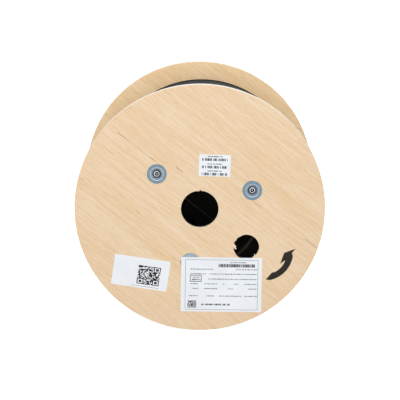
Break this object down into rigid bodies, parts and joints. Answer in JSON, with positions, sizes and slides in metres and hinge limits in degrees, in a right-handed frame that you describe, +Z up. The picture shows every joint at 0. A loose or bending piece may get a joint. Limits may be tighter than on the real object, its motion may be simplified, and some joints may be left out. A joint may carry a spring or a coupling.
{
  "type": "cable drum",
  "caption": "Plywood cable drum wound with thin black round cable, with a spindle hole through its flanges and a hole for the start of the cable.",
  "frame": {"origin": "on the floor, under the middle of the drum", "axes": "+Y along the drum's axis from the front flange to the back flange, +Z up, +X to the right seen from the front"},
  "size_m": [0.3999, 0.316, 0.4],
  "materials": {
    "plywood": "sanded, bare",
    "barrel_board": "matt",
    "cable_jacket": "satin",
    "blue_zinc": "blue zinc plate",
    "zinc_rod": "bright zinc plate",
    "label_paper": "coated paper",
    "print_ink": "printed ink"
  },
  "bodies": {
    "root": {"front_flange": "plywood", "back_flange": "plywood", "barrel": "barrel_board", "cable_winding": "cable_jacket", "tie_rod_1": "zinc_rod", "tie_rod_2": "zinc_rod", "tie_rod_3": "zinc_rod", "front_cup_1": "blue_zinc", "front_cup_2": "blue_zinc", "front_cup_3": "blue_zinc", "back_cup_1": "blue_zinc", "back_cup_2": "blue_zinc", "back_cup_3": "blue_zinc", "front_nut_1": "zinc_rod", "front_nut_2": "zinc_rod", "front_nut_3": "zinc_rod", "back_nut_1": "zinc_rod", "back_nut_2": "zinc_rod", "back_nut_3": "zinc_rod"}
  },
  "joints": []
}
